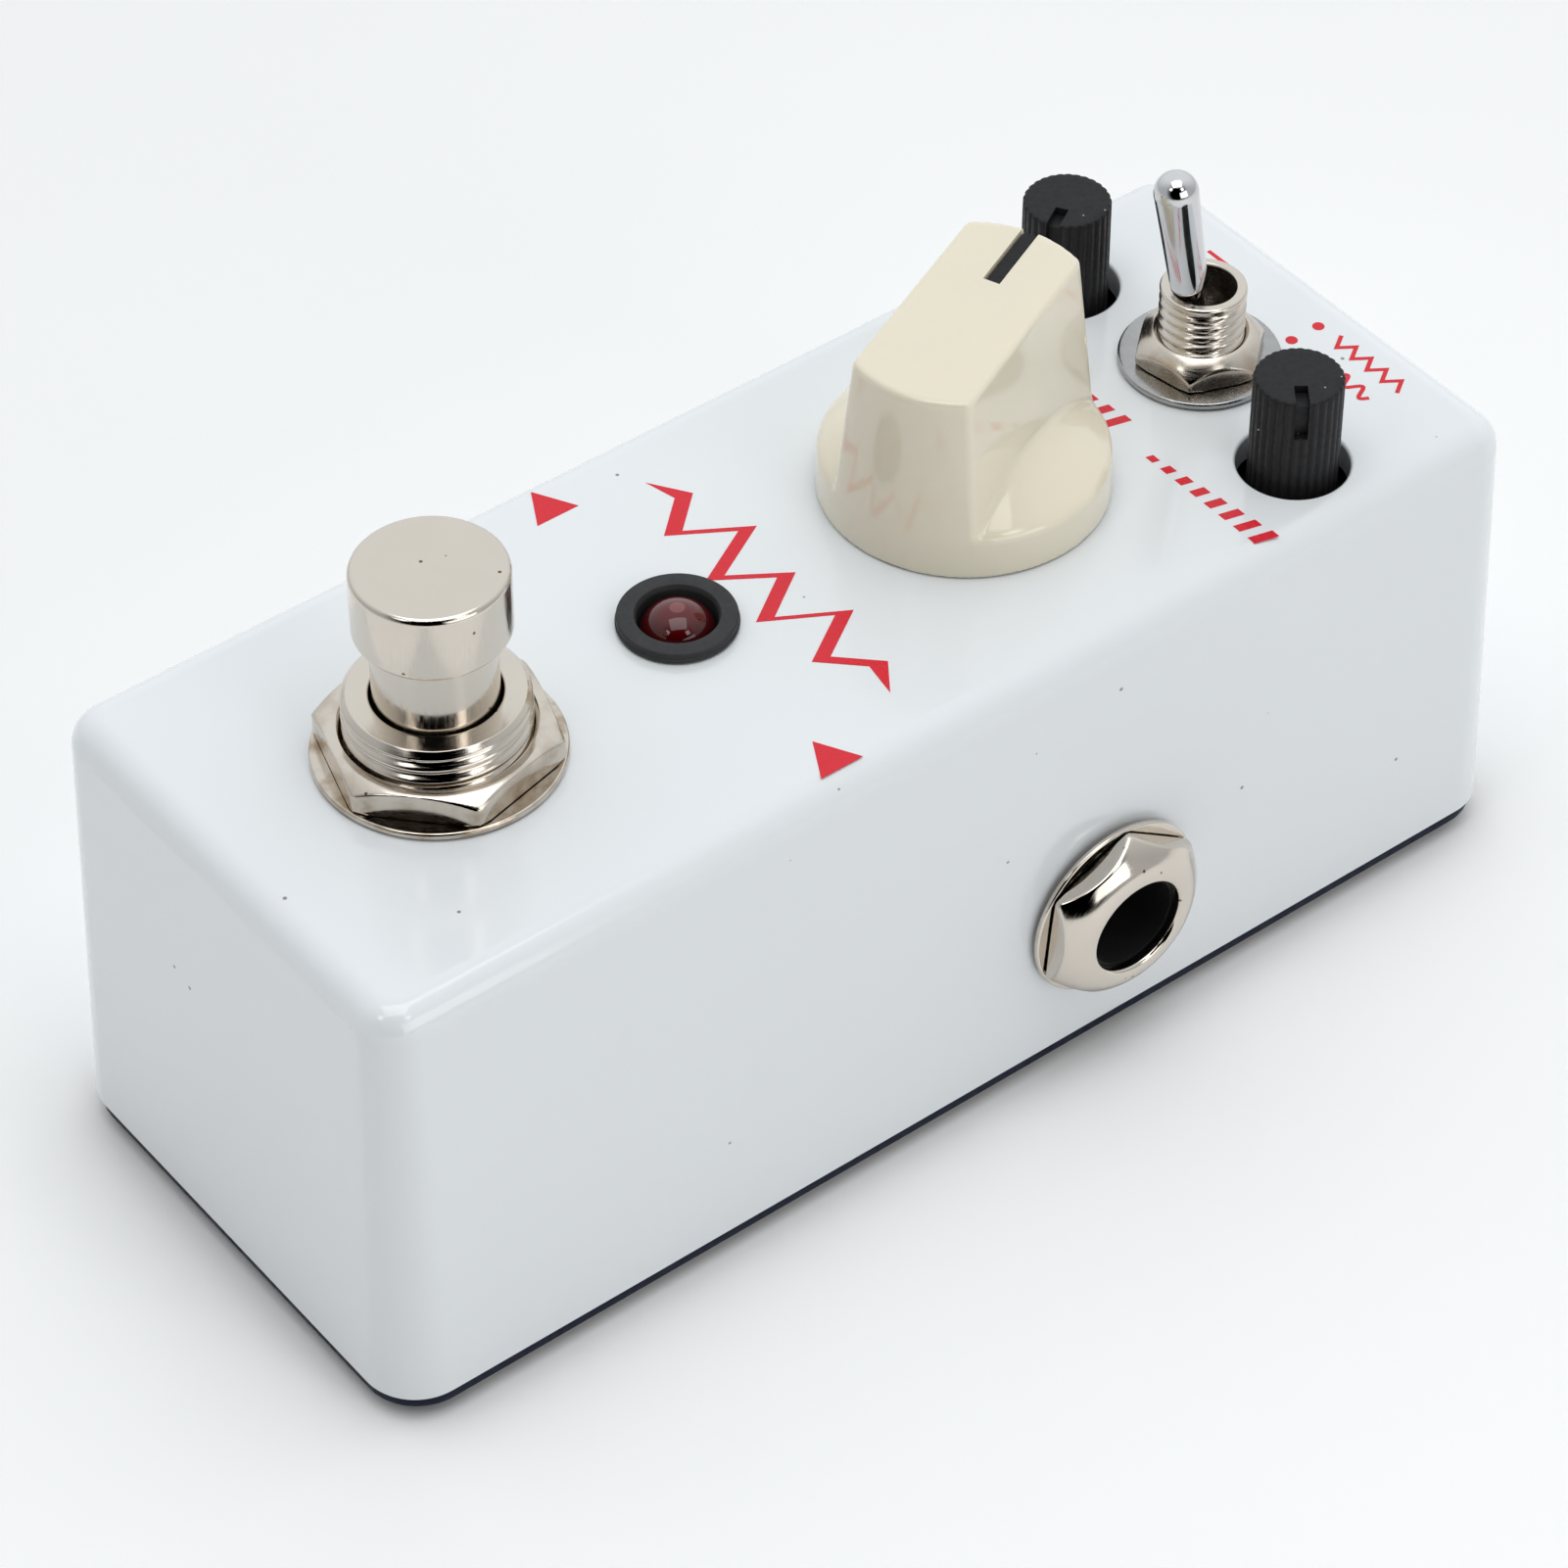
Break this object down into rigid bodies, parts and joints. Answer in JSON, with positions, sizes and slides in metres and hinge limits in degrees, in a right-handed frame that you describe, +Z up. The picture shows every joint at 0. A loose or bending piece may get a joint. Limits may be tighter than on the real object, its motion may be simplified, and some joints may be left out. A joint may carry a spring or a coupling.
{
  "type": "guitar effects pedal",
  "caption": "Compact guitar effects pedal: white cast box with footswitch, status lamp, large pointer knob, small knurled knobs, toggle switch, side jacks and DC socket.",
  "frame": {"origin": "centre of the footprint, on the surface that the rubber pad rests on", "axes": "+Z up through the controls, +X to the player's right (input jack side), +Y away from the player (DC socket end)"},
  "size_m": [0.0438, 0.0936, 0.052],
  "materials": {
    "white_enamel": "gloss",
    "black_steel": "satin",
    "black_rubber": "matte",
    "nickel": "polished",
    "chrome": "polished",
    "black_plastic": "satin",
    "cream_plastic": "gloss",
    "red_lens": "gloss",
    "blue_plastic": "satin",
    "brown_laminate": "matte",
    "green_board": "satin",
    "white_nylon": "satin",
    "spring_steel": "satin",
    "tinned_brass": "satin"
  },
  "bodies": {
    "enclosure": {"enclosure_shell": "white_enamel", "bottom_plate": "black_steel", "rubber_pad": "black_rubber", "base_screw_front_left": "black_steel", "base_screw_front_right": "black_steel", "base_screw_rear_left": "black_steel", "base_screw_rear_right": "black_steel", "footswitch_spring": "spring_steel", "footswitch_bushing": "nickel", "footswitch_nut": "nickel", "footswitch_washer": "nickel", "footswitch_inner_nut": "nickel", "footswitch_body": "blue_plastic", "footswitch_base": "brown_laminate", "footswitch_lug_1": "tinned_brass", "footswitch_lug_2": "tinned_brass", "footswitch_lug_3": "tinned_brass", "footswitch_lug_4": "tinned_brass", "footswitch_lug_5": "tinned_brass", "footswitch_lug_6": "tinned_brass", "footswitch_lug_7": "tinned_brass", "footswitch_lug_8": "tinned_brass", "footswitch_lug_9": "tinned_brass", "lamp_bezel": "black_plastic", "lamp_lens": "red_lens", "main_pot_body": "nickel", "main_pot_nut": "nickel", "left_pot_body": "black_plastic", "right_pot_body": "black_plastic", "toggle_bushing": "nickel", "toggle_nut": "nickel", "toggle_washer": "chrome", "toggle_body": "blue_plastic", "toggle_terminal_1": "tinned_brass", "toggle_terminal_2": "tinned_brass", "toggle_terminal_3": "tinned_brass", "input_jack_body": "black_plastic", "input_jack_nut": "nickel", "input_jack_washer": "nickel", "input_jack_tip_spring": "spring_steel", "output_jack_body": "black_plastic", "output_jack_nut": "nickel", "output_jack_washer": "nickel", "output_jack_tip_spring": "spring_steel", "dc_socket_body": "black_plastic", "dc_socket_pin": "nickel", "control_board": "green_board", "main_board": "green_board", "board_header": "black_plastic"},
    "footswitch_plunger": {"footswitch_button": "nickel", "footswitch_actuator": "white_nylon"},
    "main_knob_assembly": {"main_knob": "cream_plastic", "main_knob_pointer": "black_plastic", "main_pot_shaft": "nickel"},
    "left_knob_rotor": {"left_knob": "black_plastic"},
    "right_knob_rotor": {"right_knob": "black_plastic"},
    "toggle_lever_body": {"toggle_lever": "chrome"},
    "toggle_rocker_body": {"toggle_rocker": "tinned_brass"}
  },
  "joints": [
    {"name": "footswitch_press", "type": "slide", "parent": "enclosure", "child": "footswitch_plunger", "axis": [0, 0, -1], "range_m": [0, 0.0025], "stiffness_N_per_m": 1500, "springref_m": -0.001, "deforming": ["footswitch_spring"]},
    {"name": "main_knob_turn", "type": "hinge", "parent": "enclosure", "child": "main_knob_assembly", "pos_m": [0, 0.0132, 0.0351], "axis": [0, 0, 1], "range_deg": [-172, 128]},
    {"name": "left_knob_turn", "type": "hinge", "parent": "enclosure", "child": "left_knob_rotor", "pos_m": [-0.0117, 0.0315, 0.0351], "axis": [0, 0, 1], "range_deg": [-3, 297]},
    {"name": "right_knob_turn", "type": "hinge", "parent": "enclosure", "child": "right_knob_rotor", "pos_m": [0.0117, 0.0315, 0.0351], "axis": [0, 0, 1], "range_deg": [-25, 275]},
    {"name": "toggle_flip", "type": "hinge", "parent": "enclosure", "child": "toggle_lever_body", "pos_m": [0, 0.0335, 0.0351], "axis": [-1, 0, 0], "range_deg": [0, 21.6]},
    {"name": "toggle_rocker_tilt", "type": "hinge", "parent": "enclosure", "child": "toggle_rocker_body", "pos_m": [0, 0.0335, 0.0266], "axis": [1, 0, 0], "range_deg": [0, 21.6]}
  ],
  "couplings": [
    {"joint": "toggle_rocker_tilt", "follows": "toggle_flip", "ratio": 1}
  ]
}
